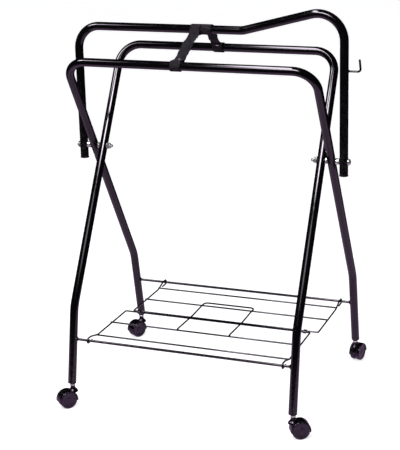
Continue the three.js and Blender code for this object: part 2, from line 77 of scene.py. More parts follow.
def box_middle(node):
    low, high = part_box(node)
    return (low + high) / 2


PIVOT = Vector(joint["fold"]["pos_m"])
REAR_ROD = Vector(joint["rear_shelf_hinge"]["pos_m"])
HINGE = Vector(joint["shelf_mid_hinge"]["pos_m"])
MIDDLE_X = box_middle("outer_frame_tube").x
ROD_Y = REAR_ROD.y
ROD_Z = REAR_ROD.z

# ------------------------------------------------------------------ driving dimensions

# Tube frames and ridge
TUBE_R = 0.010
TUBE_WALL = 0.0015
CAD_FACET = math.cos(math.radians(15))  # how far out the flats of the frame's 12-sided tubes stand
TUBE_SIDES = 48
LEG_SLOPE = math.radians(30)
RAIL_REACH = 0.265
BEND_REACH = 0.400
RAIL_BEND_R = 0.052
LEG_BEND_R = 0.090
FOOT_Y = 0.233
FOOT_Z = 0.062
RIDGE_Z = 0.883
RIDGE_END_Z = 0.559
RIDGE_BEND_R = 0.056
RAMP_X = 0.090
RAMP_ANGLE = math.radians(14.3)
RAMP_BEND_R = 0.060
POMMEL_BEND_R = 0.061

# Shelf
ROD_R = 0.0031
WIRE_R = 0.002
WIRE_SIDES = 20
HOOK_R = 0.00565
HOOK_BEND_R = 0.0055
HOOK_FLAT = 0.013
HOOK_RETURN = 0.020
SLOPE_END = 0.050
SLOPE_BEND_R = 0.012
WIRE_BEND_R = 0.004
CROSS_DROP = 0.002
CROSS_Y = (0.086, 0.1715)
CROSS_OVERHANG = 0.0025
FRONT_SPAN = (-0.236, 0.248)
REAR_SPAN = (-0.218, 0.266)
EDGE_GAP = 0.0072
LOOP_SPAN = (-0.059, 0.074)
LOOP_LEG_Y = (-0.090, -0.076, -EDGE_GAP, 2 * EDGE_GAP, 0.071, 0.097)
LOOP_DIP_BEND_R = 0.018
LOOP_BEND_R = 0.010
CLIP_WALL = 0.0012
WELD_R = 0.0024

# Bridle hook
BRIDLE_R = 0.0024
BRIDLE_Z = 0.7995
BRIDLE_OUT = 0.0285
BRIDLE_TIP = 0.028
BRIDLE_LEAN = 0.0028
BRIDLE_BEND_R = 0.006

# Straps
STRAP_W = 0.025
STRAP_T = 0.0018
STRAP_LOOP_R = TUBE_R + 0.0015  # centre line of the webbing round a tube
STRAP_JOIN = 0.024  # from a tube's centre to where the two layers meet
STRAP_TAIL = 0.010  # the inner layer runs on past the join
STRAP_WAVE = 0.0009
STRAP_TWIST = 0.0011
STRAP_CURL = 0.0009
STRAP_SWAY = 0.0010
NEAR_STRAP_X = -0.0225
FAR_STRAP_RIDGE_X = 0.004
FAR_STRAP_RAIL_X = -0.018

# Casters
WHEEL_R = 0.021
WHEEL_W = 0.010
WHEEL_INNER_Y = 0.0027
WHEEL_BORE_R = 0.0035
TRAIL = 0.016
HOOD_R = 0.0233
HOOD_INNER_R = 0.0221
HOOD_DIP = math.radians(8)
HOOD_END_WALL = 0.75  # at its two lower ends, the share of the wall's thickness left
HOOD_END_WIDTH = 0.995
HOOD_END_CUT = 0.001
LIP_R = 0.0188
LIP_INNER_Y = 0.0131
LIP_T = 0.0011
WEB_T = 0.0044
WEB_HUB_R = 0.008
AXLE_R = 0.003
AXLE_END_Y = 0.010
BOSS_TOP = 0.053
COLLAR_Z = (0.0535, 0.0572)
STEM_TOP = 0.082
SOCKET_L = 0.025
PLUG_R = 0.0078

SHARP = math.radians(38)  # edges that turn more than this stay crisp
ARC_STEP = math.radians(4)


def half_width(node):
    """Half the distance between a frame's leg centres, from its packed tube."""
    low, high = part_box(node)
    return (high.x - low.x) / 2 - TUBE_R * CAD_FACET


OUTER_X = half_width("outer_frame_tube")
INNER_X = half_width("inner_frame_tube")
RIDGE_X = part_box("pivot_ridge_spacer_right")[1].x + 0.0003 + TUBE_R - MIDDLE_X


# ------------------------------------------------------------------ mesh helpers


def bent_line(corners, step=ARC_STEP):
    """Points along a line with rounded corners. Each corner is (point, bend radius), and the two ends'
    radii are unused."""
    points = [Vector(p) for p, _ in corners]
    line = [points[0]]
    for i in range(1, len(points) - 1):
        radius = corners[i][1]
        back = (points[i - 1] - points[i]).normalized()
        ahead = (points[i + 1] - points[i]).normalized()
        turn = math.pi - back.angle(ahead)
        start = points[i] + back * radius * math.tan(turn / 2)
        centre = points[i] + (back + ahead).normalized() * radius / math.cos(turn / 2)
        axis = ahead.cross(back).normalized()
        steps = max(2, math.ceil(turn / step))
        for k in range(steps + 1):
            line.append(centre + Matrix.Rotation(turn * k / steps, 3, axis) @ (start - centre))
    line.append(points[-1])
    return line


def along(line):
    """A (point, side, up) at each point of a line, carried along it without twist."""
    frames = []
    tangents = []
    for i in range(len(line)):
        before = (line[i] - line[i - 1]).normalized() if i else Vector()
        after = (line[i + 1] - line[i]).normalized() if i < len(line) - 1 else Vector()
        tangents.append((before + after).normalized())
    side = tangents[0].orthogonal().normalized()
    for i, tangent in enumerate(tangents):
        if i:
            side = tangents[i - 1].rotation_difference(tangent) @ side
        side = (side - tangent * side.dot(tangent)).normalized()
        frames.append((line[i], side, tangent.cross(side)))
    return frames


def circle(sides):
    return [(math.cos(2 * math.pi * k / sides), math.sin(2 * math.pi * k / sides)) for k in range(sides)]


def loft(rings, closed=False):
    """Vertices and faces through rings of equal length. Ends are capped unless the rings close on themselves.
    A ring of one point is a pole."""
    verts = []
    starts = []
    for ring in rings:
        starts.append(len(verts))
        verts.extend(ring)
    faces = []
    count = len(rings)
    for i in range(count if closed else count - 1):
        j = (i + 1) % count
        a, b = starts[i], starts[j]
        na, nb = len(rings[i]), len(rings[j])
        sides = max(na, nb)
        for k in range(sides):
            m = (k + 1) % sides
            if na == 1:
                faces.append((a, b + m, b + k))
            elif nb == 1:
                faces.append((a + k, a + m, b))
            else:
                faces.append((a + k, a + m, b + m, b + k))
    if not closed:
        for i in (0, count - 1):
            if len(rings[i]) > 2:
                faces.append(tuple(range(starts[i], starts[i] + len(rings[i]))))
    return verts, faces


def swept(line, radius, sides=WIRE_SIDES, dome=0.0):
    """A round bar along a line, with ends rounded over a length of dome."""
    frames = along(line)
    unit = circle(sides)

    def ring(place, scale, shift=0.0):
        point, side, up = place
        tangent = side.cross(up)
        return [point + tangent * shift + (side * x + up * y) * radius * scale for x, y in unit]

    rings = [ring(f, 1.0) for f in frames]
    if dome > 0:
        angles = [math.radians(a) for a in (80, 60, 40, 20)]
        first = [ring(frames[0], math.cos(a), dome * (1 - math.sin(a))) for a in angles]
        last = [ring(frames[-1], math.cos(a), -dome * (1 - math.sin(a))) for a in reversed(angles)]
        rings[0] = ring(frames[0], 1.0, dome)
        rings[-1] = ring(frames[-1], 1.0, -dome)
        rings = [*first, *rings, *last]
    return loft(rings)


def piped(line, radius, bore, sides=TUBE_SIDES):
    """A tube with a bore along a line, its two mouths slightly rounded."""
    frames = along(line)
    unit = circle(sides)
    middle = (radius + bore) / 2
    lip = (radius - bore) / 4

    def ring(place, r, shift=0.0):
        point, side, up = place
        return [point + side.cross(up) * shift + (side * x + up * y) * r for x, y in unit]

    outer = [ring(f, radius) for f in frames]
    inner = [ring(f, bore) for f in reversed(frames)]
    outer[0] = ring(frames[0], radius, lip)
    outer[-1] = ring(frames[-1], radius, -lip)
    end_lip = [ring(frames[-1], middle + lip), ring(frames[-1], middle - lip)]
    start_lip = [ring(frames[0], middle - lip), ring(frames[0], middle + lip)]
    return loft([*outer, *end_lip, *inner, *start_lip], closed=True)


def turned(profile, sides=40, place=Matrix.Identity(4), ripple=0.0):
    """A piece turned about +Z from (radius, height) points. A radius of 0 is a pole, and a profile with
    no pole is a closed ring. ripple roughens it, for weld metal."""
    unit = circle(sides)
    rings = []
    for r, h in profile:
        if r == 0:
            rings.append([place @ Vector((0, 0, h))])
            continue
        ring = []
        for x, y in unit:
            point = place @ Vector((r * x, r * y, h))
            swell = 1 + ripple * noise.noise(point * 900)
            ring.append(place @ Vector((r * x * swell, r * y * swell, h)))
        rings.append(ring)
    return loft(rings, closed=profile[0][0] != 0)


def facing(point, direction, roll=0.0):
    """A matrix that takes +Z to a direction, at a point."""
    turn = Vector((0, 0, 1)).rotation_difference(Vector(direction)).to_matrix().to_4x4()
    return Matrix.Translation(point) @ turn @ Matrix.Rotation(roll, 4, "Z")


def rounded(profile, radius, steps=3):
    """Turns a profile's inner corners into small arcs, by cutting each corner back and easing it."""
    out = [profile[0]]
    for i in range(1, len(profile) - 1):
        a, p, b = Vector(profile[i - 1]), Vector(profile[i]), Vector(profile[i + 1])
        cut = min(radius, (a - p).length / 2, (b - p).length / 2)
        first = p + (a - p).normalized() * cut
        last = p + (b - p).normalized() * cut
        for k in range(steps + 1):
            t = k / steps
            q = first * (1 - t) ** 2 + p * 2 * t * (1 - t) + last * t ** 2
            out.append((q.x, q.y))
    out.append(profile[-1])
    return out


def weld(point, radius=WELD_R, squash=(1, 1, 0.8)):
    """A lump of weld metal."""
    point = Vector(point)
    rings = [[point - Vector((0, 0, radius * squash[2]))]]
    unit = circle(12)
    for row in range(1, 8):
        angle = math.pi * row / 8 - math.pi / 2
        ring = []
        for x, y in unit:
            spot = Vector((x * math.cos(angle), y * math.cos(angle), math.sin(angle)))
            swell = radius * (1 + 0.25 * noise.noise(point * 300 + spot * 1.5))
            ring.append(point + Vector(s * c * swell for s, c in zip(squash, spot)))
        rings.append(ring)
    rings.append([point + Vector((0, 0, radius * squash[2]))])
    return loft(rings)


def piece(name, parts, material, body, replaces=()):
    """One named piece from several lofted parts, riding on a body and standing for CAD nodes."""
    verts = []
    faces = []
    for part_verts, part_faces in parts:
        offset = len(verts)
        verts.extend(part_verts)
        faces.extend(tuple(offset + k for k in face) for face in part_faces)
    mesh = bpy.data.meshes.new(name)
    mesh.from_pydata([tuple(v) for v in verts], [], faces)
    work = bmesh.new()
    work.from_mesh(mesh)
    bmesh.ops.recalc_face_normals(work, faces=work.faces)
    for edge in work.edges:
        edge.smooth = len(edge.link_faces) != 2 or edge.calc_face_angle(0.0) < SHARP
    for face in work.faces:
        face.smooth = True
    work.to_mesh(mesh)
    work.free()
    mesh.materials.append(material)
    obj = bpy.data.objects.new(name, mesh)
    bpy.context.scene.collection.objects.link(obj)
    if body:
        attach(obj, body)
    if replaces:
        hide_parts(*replaces)
    return obj


# ------------------------------------------------------------------ materials


def node_material(name):
    material = bpy.data.materials.new(name)
    material.use_nodes = True
    return material, material.node_tree.nodes, material.node_tree.links


def add_noise(nodes, links, scale, detail=2.0, stretch=None):
    """A noise texture in object space."""
    place = nodes.new("ShaderNodeTexCoord")
    texture = nodes.new("ShaderNodeTexNoise")
    texture.inputs["Scale"].default_value = scale
    texture.inputs["Detail"].default_value = detail
    if stretch:
        mapping = nodes.new("ShaderNodeMapping")
        mapping.inputs["Scale"].default_value = stretch
        links.new(place.outputs["Object"], mapping.inputs["Vector"])
        links.new(mapping.outputs["Vector"], texture.inputs["Vector"])
    else:
        links.new(place.outputs["Object"], texture.inputs["Vector"])
    return texture.outputs["Fac"]


def add_range(nodes, links, value, low, high, from_low=0.35, from_high=0.65):
    """Maps a texture's middle range to low..high."""
    spread = nodes.new("ShaderNodeMapRange")
    spread.inputs["From Min"].default_value = from_low
    spread.inputs["From Max"].default_value = from_high
    spread.inputs["To Min"].default_value = low
    spread.inputs["To Max"].default_value = high
    links.new(value, spread.inputs["Value"])
    return spread.outputs["Result"]


def add_mix(nodes, links, factor, first, second):
    """Mixes two colours, each a tuple or a socket."""
    mix = nodes.new("ShaderNodeMix")
    mix.data_type = "RGBA"
    links.new(factor, mix.inputs["Factor"])
    for socket, value in ((mix.inputs[6], first), (mix.inputs[7], second)):
        if isinstance(value, tuple):
            socket.default_value = (*value, 1.0)
        else:
            links.new(value, socket)
    return mix.outputs[2]


def add_bump(nodes, links, height, strength, distance, under=None):
    bump = nodes.new("ShaderNodeBump")
    bump.inputs["Strength"].default_value = strength
    bump.inputs["Distance"].default_value = distance
    links.new(height, bump.inputs["Height"])
    if under:
        links.new(under, bump.inputs["Normal"])
    return bump.outputs["Normal"]


def add_edge_wear(nodes, links, low=0.53, high=0.60):
    """1 on sharp outward edges, broken up by noise."""
    geometry = nodes.new("ShaderNodeNewGeometry")
    edges = add_range(nodes, links, geometry.outputs["Pointiness"], 0.0, 1.0, low, high)
    patches = add_range(nodes, links, add_noise(nodes, links, 260, 4), 0.0, 1.0, 0.45, 0.6)
    product = nodes.new("ShaderNodeMath")
    product.operation = "MULTIPLY"
    links.new(edges, product.inputs[0])
    links.new(patches, product.inputs[1])
    return product.outputs[0]


def enamel_material():
    """Glossy black enamel with a faint violet cast in what it mirrors, orange peel and handling marks."""
    material, nodes, links = node_material("enamel")
    shader = nodes["Principled BSDF"]
    shader.inputs["IOR"].default_value = 1.58
    shader.inputs["Specular Tint"].default_value = (0.97, 0.87, 1.0, 1.0)
    wear = add_edge_wear(nodes, links)
    patches = add_range(nodes, links, add_noise(nodes, links, 9, 3), 0.0, 1.0)
    paint = add_mix(nodes, links, patches, (0.0018, 0.0016, 0.0019), (0.0030, 0.0025, 0.0033))
    links.new(add_mix(nodes, links, wear, paint, (0.045, 0.040, 0.048)), shader.inputs["Base Color"])
    links.new(add_range(nodes, links, add_noise(nodes, links, 60, 4), 0.07, 0.12), shader.inputs["Roughness"])
    ripple = add_bump(nodes, links, add_noise(nodes, links, 260, 1), 0.05, 0.00012)
    peel = add_bump(nodes, links, add_noise(nodes, links, 1500, 2), 0.06, 0.00004, ripple)
    links.new(peel, shader.inputs["Normal"])
    return material


def zinc_material():
    """Bright zinc plate, with fine turning marks and slight dulling."""
    material, nodes, links = node_material("zinc")
    shader = nodes["Principled BSDF"]
    shader.inputs["Metallic"].default_value = 0.8
    cloud = add_range(nodes, links, add_noise(nodes, links, 180, 3), 0.0, 1.0)
    plate = add_mix(nodes, links, cloud, (0.86, 0.88, 0.86), (0.68, 0.70, 0.68))
    links.new(plate, shader.inputs["Base Color"])
    rough = add_range(nodes, links, add_noise(nodes, links, 650, 4), 0.16, 0.38)
    links.new(rough, shader.inputs["Roughness"])
    marks = add_noise(nodes, links, 2600, 2, stretch=(0.25, 1.0, 1.0))
    links.new(add_bump(nodes, links, marks, 0.18, 0.00003), shader.inputs["Normal"])
    return material


def plastic_material(name, dark, light, rough, grain):
    """Moulded black plastic with a fine spark-eroded grain, scuffed on its edges."""
    material, nodes, links = node_material(name)
    shader = nodes["Principled BSDF"]
    shader.inputs["IOR"].default_value = 1.52
    shader.inputs["Specular Tint"].default_value = (0.90, 0.72, 1.0, 1.0)
    wear = add_edge_wear(nodes, links, 0.52, 0.58)
    cloud = add_range(nodes, links, add_noise(nodes, links, 60, 4), 0.0, 1.0)
    base = add_mix(nodes, links, cloud, dark, light)
    scuffed = tuple(3.2 * c + 0.01 for c in light)
    links.new(add_mix(nodes, links, wear, base, scuffed), shader.inputs["Base Color"])
    links.new(add_range(nodes, links, add_noise(nodes, links, 240, 4), *rough), shader.inputs["Roughness"])
    surface = add_bump(nodes, links, add_noise(nodes, links, 3200, 2), grain, 0.00005)
    links.new(surface, shader.inputs["Normal"])
    return material


def webbing_material():
    """Woven polypropylene webbing: ribs across the strap, crossed by fine yarns."""
    material, nodes, links = node_material("webbing")
    shader = nodes["Principled BSDF"]
    uv = nodes.new("ShaderNodeUVMap")
    uv.uv_map = "weave"
    split = nodes.new("ShaderNodeSeparateXYZ")
    links.new(uv.outputs["UV"], split.inputs["Vector"])

    def wave(axis, pitch, shift=None):
        """0..1 ridges at a pitch along one UV axis."""
        scaled = nodes.new("ShaderNodeMath")
        scaled.operation = "MULTIPLY"
        scaled.inputs[1].default_value = 2 * math.pi / pitch
        links.new(split.outputs[axis], scaled.inputs[0])
        value = scaled.outputs[0]
        if shift:
            moved = nodes.new("ShaderNodeMath")
            moved.operation = "ADD"
            links.new(value, moved.inputs[0])
            links.new(shift, moved.inputs[1])
            value = moved.outputs[0]
        sine = nodes.new("ShaderNodeMath")
        sine.operation = "SINE"
        links.new(value, sine.inputs[0])
        return sine.outputs[0]

    # Each yarn across the strap steps half a pitch on from its neighbour.
    step = nodes.new("ShaderNodeMath")
    step.operation = "MULTIPLY"
    step.inputs[1].default_value = math.pi / 2
    links.new(wave("Y", 0.0030), step.inputs[0])
    ribs = wave("X", 0.0017, step.outputs[0])
    yarns = wave("Y", 0.0015)
    crossed = nodes.new("ShaderNodeMath")
    crossed.operation = "MULTIPLY_ADD"
    crossed.inputs[1].default_value = 0.45
    links.new(yarns, crossed.inputs[0])
    links.new(ribs, crossed.inputs[2])
    fuzz = add_noise(nodes, links, 2400, 3)
    # The weave's height also sets its colour: hollows between ribs and yarns are painted darker and crests
    # lighter, as painted shade
    shade = add_range(nodes, links, crossed.outputs[0], 0.0, 1.0, -1.4, 1.4)
    weave_tone_with_painted_shade = add_mix(nodes, links, shade, (0.0012, 0.0009, 0.0015), (0.0085, 0.0050, 0.0104))
    faded = add_mix(nodes, links, add_range(nodes, links, fuzz, 0.0, 0.35), weave_tone_with_painted_shade, (0.0105, 0.0068, 0.0128))
    links.new(faded, shader.inputs["Base Color"])
    shader.inputs["Roughness"].default_value = 0.78
    shader.inputs["Specular IOR Level"].default_value = 0.3
    shader.inputs["Sheen Weight"].default_value = 0.02
    shader.inputs["Sheen Roughness"].default_value = 0.4
    shader.inputs["Sheen Tint"].default_value = (0.62, 0.52, 0.72, 1.0)
    weave = add_bump(nodes, links, crossed.outputs[0], 0.75, 0.00022)
    links.new(add_bump(nodes, links, fuzz, 0.35, 0.00008, weave), shader.inputs["Normal"])
    return material


ENAMEL = enamel_material()
ZINC = zinc_material()
MOULDING = plastic_material(
    "moulding", dark=(0.0024, 0.0019, 0.0028), light=(0.0045, 0.0035, 0.0052), rough=(0.18, 0.30), grain=0.10
)
WHEEL = plastic_material(
    "wheel", dark=(0.016, 0.012, 0.019), light=(0.026, 0.019, 0.031), rough=(0.30, 0.48), grain=0.16
)
WEBBING = webbing_material()


# ------------------------------------------------------------------ tube frames and ridge


def on_leg(reach, rear):
    """A point on a leg's upper line, at a distance from the pivot towards the rail, as (y, z)."""
    return -rear * reach * math.sin(LEG_SLOPE), PIVOT.z + reach * math.cos(LEG_SLOPE)


def foot_tilt():
    y, z = on_leg(-BEND_REACH, 1)
    return math.atan2(FOOT_Y - y, z - FOOT_Z)


FOOT_TILT = foot_tilt()


def at(x, y, z):
    """A point given from the middle of the frames."""
    return Vector((MIDDLE_X + x, y, z))


def frame_line(half, rear):
    """A frame's centre line: foot, leg bend, rail corner, and the same mirrored. rear is 1 or -1."""
    rail = on_leg(RAIL_REACH, rear)
    bend = on_leg(-BEND_REACH, rear)
    corners = [(half, rear * FOOT_Y, FOOT_Z, 0), (half, *bend, LEG_BEND_R), (half, *rail, RAIL_BEND_R)]
    left = [(at(-x, y, z), r) for x, y, z, r in corners]
    right = [(at(x, y, z), r) for x, y, z, r in reversed(corners)]
    return bent_line(left + right)


def ridge_line():
    top = RIDGE_Z + (RIDGE_X - RAMP_X) * math.tan(RAMP_ANGLE)
    return bent_line([
        (at(-RIDGE_X, 0, RIDGE_END_Z), 0),
        (at(-RIDGE_X, 0, RIDGE_Z), RIDGE_BEND_R),
        (at(RAMP_X, 0, RIDGE_Z), RAMP_BEND_R),
        (at(RIDGE_X, 0, top), POMMEL_BEND_R),
        (at(RIDGE_X, 0, RIDGE_END_Z), 0),
    ])


def build_tubes():
    bore = TUBE_R - TUBE_WALL
    for name, body, line in (
        ("outer_tube", "outer_frame", frame_line(OUTER_X, 1)),
        ("inner_tube", "inner_frame", frame_line(INNER_X, -1)),
        ("ridge_bar", "ridge", ridge_line()),
    ):
        node = "ridge_tube" if body == "ridge" else body + "_tube"
        piece(name, [piped(line, TUBE_R, bore)], ENAMEL, body, [node])


def build_ridge_plugs():
    profile = rounded(
        [(0, -0.0032), (0.0088, -0.0032), (0.0111, -0.0022), (0.0104, -0.0003), (PLUG_R, -0.0003),
         (PLUG_R, 0.0173), (0.0068, 0.0183), (0, 0.0183)],
        0.0009,
    )
    for end, x in (("left", -RIDGE_X), ("right", RIDGE_X)):
        place = Matrix.Translation(at(x, 0, RIDGE_END_Z))
        name = "ridge_end_plug_" + end
        piece("ridge_cap_" + end, [turned(profile, TUBE_SIDES, place)], MOULDING, "ridge", [name])


def build_bridle_hook():
    """The upturned wire on the pommel end, with its weld."""
    root = at(RIDGE_X + TUBE_R - 0.0006, 0, BRIDLE_Z)
    elbow = root + Vector((BRIDLE_OUT, 0, 0))
    tip = elbow + Vector((-BRIDLE_LEAN, 0, BRIDLE_TIP))
    wire = swept(bent_line([(root, 0), (elbow, BRIDLE_BEND_R), (tip, 0)]), BRIDLE_R, 24, BRIDLE_R)
    fillet = [
        (0.0021, 0.0038), (0.0026, 0.0022), (0.0036, 0.0010), (0.0046, 0.0002), (0.0046, -0.0012),
        (0.0012, -0.0012), (0.0012, 0.0038),
    ]
    collar = turned(fillet, 24, facing(root, elbow - root), ripple=0.12)
    piece("bridle_wire", [wire, collar], ENAMEL, "ridge", ["bridle_hook"])


# ------------------------------------------------------------------ pivot hardware


def thread(radius, length, pitch, place, sides=28):
    """A threaded bolt end with a chamfered tip, from 0 to length along +Z."""
    rows = int(length / pitch * 6)
    rings = []
    depth = 0.55 * pitch
    for row in range(rows + 1):
        h = length * row / rows
        ring = []
        for k in range(sides):
            phase = (h / pitch - k / sides) % 1
            crest = 1 - 2 * abs(phase - 0.5)
            limit = radius - max(0.0, h - (length - 1.2 * pitch)) * 0.8
            r = min(radius - depth * (1 - crest), limit)
            angle = 2 * math.pi * k / sides
            ring.append(place @ Vector((r * math.cos(angle), r * math.sin(angle), h)))
        rings.append(ring)
    return loft(rings)


def hexagon(across_corners, height, bore, place):
    """A nut with chamfered corners and a nylon collar's rounded top, standing on +Z."""
    sides = 48
    chamfer = 0.12 * across_corners
    rows = [
        (0.0, chamfer * 0.35), (height * 0.08, 0.0), (height * 0.66, 0.0), (height * 0.74, chamfer * 0.35),
    ]
    rings = []
    for h, cut in rows:
        ring = []
        for k in range(sides):
            angle = 2 * math.pi * k / sides
            local = (angle + math.pi / 6) % (math.pi / 3) - math.pi / 6
            flat = across_corners * math.cos(math.pi / 6) / math.cos(local)
            r = min(flat, across_corners - cut)
            ring.append(place @ Vector((r * math.cos(angle), r * math.sin(angle), h)))
        rings.append(ring)
    flat_r = across_corners * math.cos(math.pi / 6)
    collar = [
        (flat_r * 0.93, height * 0.76), (flat_r * 0.92, height * 0.92), (flat_r * 0.80, height),
        (bore, height), (bore, 0.0),
    ]
    for r, h in collar:
        rings.append([place @ Vector((r * x, r * y, h)) for x, y in circle(sides)])
    return loft(rings, closed=True)


def build_pivots():
    """A domed bolt, washers, spacers and a lock nut on each end of the pivot line."""
    for end, outward in (("right", 1), ("left", -1)):
        axis = Vector((outward, 0, 0))

        def span(node):
            low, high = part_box(f"pivot_{node}_{end}")
            ends = sorted((outward * low.x, outward * high.x))
            return outward * ends[0], outward * ends[1], high.z - PIVOT.z

        def ring(node, bore, fat=0.0):
            near, far, radius = span(node)
            length = abs(far - near)
            edge = min(0.0005, length / 4)
            profile = [(bore, 0), (radius - edge, 0), (radius + fat, edge), (radius + fat, length - edge),
                       (radius - edge, length), (bore, length)]
            return turned(profile, 40, facing(Vector((near, 0, PIVOT.z)), axis))

        bolt_near, bolt_far, head_r = span("bolt")
        washer_far = span("head_washer")[1]
        head = abs(bolt_far - washer_far)
        shank = abs(washer_far - bolt_near)
        threaded = 0.016
        place = facing(Vector((washer_far, 0, PIVOT.z)), axis)
        dome = rounded(
            [(0, -shank + threaded), (0.0039, -shank + threaded), (0.0039, 0.0002), (head_r * 0.98, 0.0002),
             (head_r, head * 0.22), (head_r * 0.86, head * 0.62), (head_r * 0.52, head * 0.92), (0, head)],
            0.0012,
        )
        tip = facing(Vector((washer_far - outward * (shank - threaded - 0.001), 0, PIVOT.z)), -axis)
        bolt = [turned(dome, 40, place), thread(0.0040, threaded + 0.001, 0.00125, tip)]
        piece(f"pivot_bolt_zinc_{end}", bolt, ZINC, "ridge", [f"pivot_bolt_{end}"])
        for node in ("head_washer", "ridge_spacer", "frame_spacer", "nut_washer"):
            piece(f"{node}_zinc_{end}", [ring(node, 0.0044)], ZINC, "ridge", [f"pivot_{node}_{end}"])
        nut_near, nut_far, nut_r = span("nut")
        nut_place = facing(Vector((nut_far, 0, PIVOT.z)), -axis, math.pi / 6)
        nut = hexagon(0.0075, abs(nut_far - nut_near), 0.0040, nut_place)
        piece(f"lock_nut_zinc_{end}", [nut], ZINC, "ridge", [f"pivot_nut_{end}"])


# ------------------------------------------------------------------ folding shelf


def build_rods():
    """A rod between each frame's legs, with a ring of weld at each end."""
    for name, body, half, rear in (
        ("front_shelf_rod", "inner_frame", INNER_X, -1),
        ("rear_shelf_rod", "outer_frame", OUTER_X, 1),
    ):
        reach = half - TUBE_R + 0.001
        ends = [at(-reach, rear * ROD_Y, ROD_Z), at(reach, rear * ROD_Y, ROD_Z)]
        parts = [swept(ends, ROD_R, 28)]
        fillet = [
            (ROD_R - 0.001, 0.0), (ROD_R + 0.0034, 0.0), (ROD_R + 0.0028, 0.0012), (ROD_R + 0.0014, 0.0024),
            (ROD_R + 0.0004, 0.0042), (ROD_R - 0.001, 0.0042),
        ]
        for end, inward in ((ends[0], 1), (ends[1], -1)):
            parts.append(turned(fillet, 28, facing(end, (inward, 0, 0)), ripple=0.14))
        piece(name + "_bar", parts, ENAMEL, body, [name])


def side_wire(x, rear):
    """A side wire of a shelf half, from its hook's tip under the rod to its corner at the hinge. Both halves'
    hooks are closed here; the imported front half's are open."""
    hook = [
        (HOOK_RETURN, -HOOK_R, 0),
        (-HOOK_R, -HOOK_R, HOOK_BEND_R),
        (-HOOK_R, HOOK_R, HOOK_BEND_R),
        (HOOK_FLAT, HOOK_R, SLOPE_BEND_R),
        (SLOPE_END, HINGE.z - ROD_Z, SLOPE_BEND_R),
    ]
    return [(at(x, rear * (ROD_Y - u), ROD_Z + n), r) for u, n, r in hook]


def build_panel(name, span, edge_y, rear, body, node):
    """Half of the shelf: a bent wire hooked over the rod at both sides, with two cross wires welded on."""
    edge = [(at(x, edge_y, HINGE.z), WIRE_BEND_R) for x in span]
    corners = [*side_wire(span[0], rear), *edge, *reversed(side_wire(span[1], rear))]
    parts = [swept(bent_line(corners, math.radians(9)), WIRE_R, WIRE_SIDES, 0.0009)]
    cross_z = ROD_Z - CROSS_DROP
    for y in CROSS_Y:
        ends = [at(x, rear * y, cross_z) for x in (span[0] - CROSS_OVERHANG, span[1] + CROSS_OVERHANG)]
        parts.append(swept(ends, WIRE_R, WIRE_SIDES, 0.0009))
        for x in span:
            parts.append(weld(at(x, rear * y, cross_z - 0.0004), WELD_R, (1.15, 1.15, 0.85)))
    piece(name, parts, ENAMEL, body, [node])


def build_stop_loop():
    """The U of wire welded on the front half, which bears on the rear half when the shelf is open."""
    cross_top = ROD_Z - CROSS_DROP + 2 * WIRE_R
    hinge_top = HINGE.z + 2 * WIRE_R
    heights = (cross_top, cross_top, hinge_top, hinge_top, cross_top, cross_top)
    radii = (0, *(LOOP_DIP_BEND_R,) * 4, LOOP_BEND_R)
    legs = []
    for x in LOOP_SPAN:
        legs.append([(at(x, y, z), r) for y, z, r in zip(LOOP_LEG_Y, heights, radii)])
    corners = [*legs[0], *reversed(legs[1])]
    parts = [swept(bent_line(corners, math.radians(9)), WIRE_R, WIRE_SIDES, 0.0009)]
    for x in LOOP_SPAN:
        for y, z in ((-CROSS_Y[0], cross_top - WIRE_R), (0.0, hinge_top - WIRE_R)):
            parts.append(weld(at(x, y, z), WELD_R * 0.8, (1.0, 1.1, 0.8)))
    piece("stop_loop_wire", parts, ENAMEL, "shelf_front", ["shelf_stop_loop"])


def build_clips():
    """A strip crimped round both hinge wires, near each end of the hinge."""
    for end in ("left", "right"):
        node = "shelf_hinge_clip_" + end
        low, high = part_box(node)
        outer = []
        inner = []
        steps = 16
        bore = WIRE_R + 0.0004
        for y, first in ((EDGE_GAP, math.pi / 2), (0.0, -math.pi / 2)):
            for k in range(steps + 1):
                angle = first - math.pi * k / steps
                spoke = Vector((0, math.cos(angle), math.sin(angle)))
                outer.append(Vector((0, y, HINGE.z)) + spoke * (bore + CLIP_WALL))
                inner.append(Vector((0, y, HINGE.z)) + spoke * bore)
        edge = 0.0003
        rings = []
        for x, inset in ((low.x, edge), (low.x + edge, 0.0), (high.x - edge, 0.0), (high.x, edge)):
            rings.append([Vector((x, *o.yz)) + (i - o) * (inset / CLIP_WALL) for o, i in zip(outer, inner)])
        for x, inset in ((high.x, edge), (high.x - edge, 0.0), (low.x + edge, 0.0), (low.x, edge)):
            rings.append([Vector((x, *i.yz)) + (o - i) * (inset / CLIP_WALL) for o, i in zip(outer, inner)])
        piece("hinge_clip_strip_" + end, [loft(rings, closed=True)], ENAMEL, "shelf_rear", [node])


# ------------------------------------------------------------------ check straps


def strap_line(span):
    """The webbing's centre line, as (along, off): round the rail, up to the ridge, round it and back."""
    radius = STRAP_LOOP_R
    lap = STRAP_T * 0.53

    def teardrop(centre, sign, top_first):
        """From the join, round a tube and back to the join. sign is 1 if the join is ahead of the tube."""
        meet = centre + sign * STRAP_JOIN
        tangent = math.acos(radius / STRAP_JOIN)
        points = []
        steps = 30
        sweep_angle = 2 * math.pi - 2 * tangent
        for k in range(steps + 1):
            angle = tangent + sweep_angle * k / steps
            points.append((centre + sign * radius * math.cos(angle), radius * math.sin(angle)))
        points = points if top_first else [(s, -n) for s, n in points]
        first = 1 if top_first else -1
        return [(meet, first * lap), *points, (meet, -first * lap)]

    rail = teardrop(0.0, 1, False)
    ridge = teardrop(span, -1, True)
    tail_rail = (STRAP_JOIN + STRAP_TAIL, -lap)
    tail_ridge = (span - STRAP_JOIN - STRAP_TAIL, -lap)
    return [tail_rail, *rail, *ridge, tail_ridge]


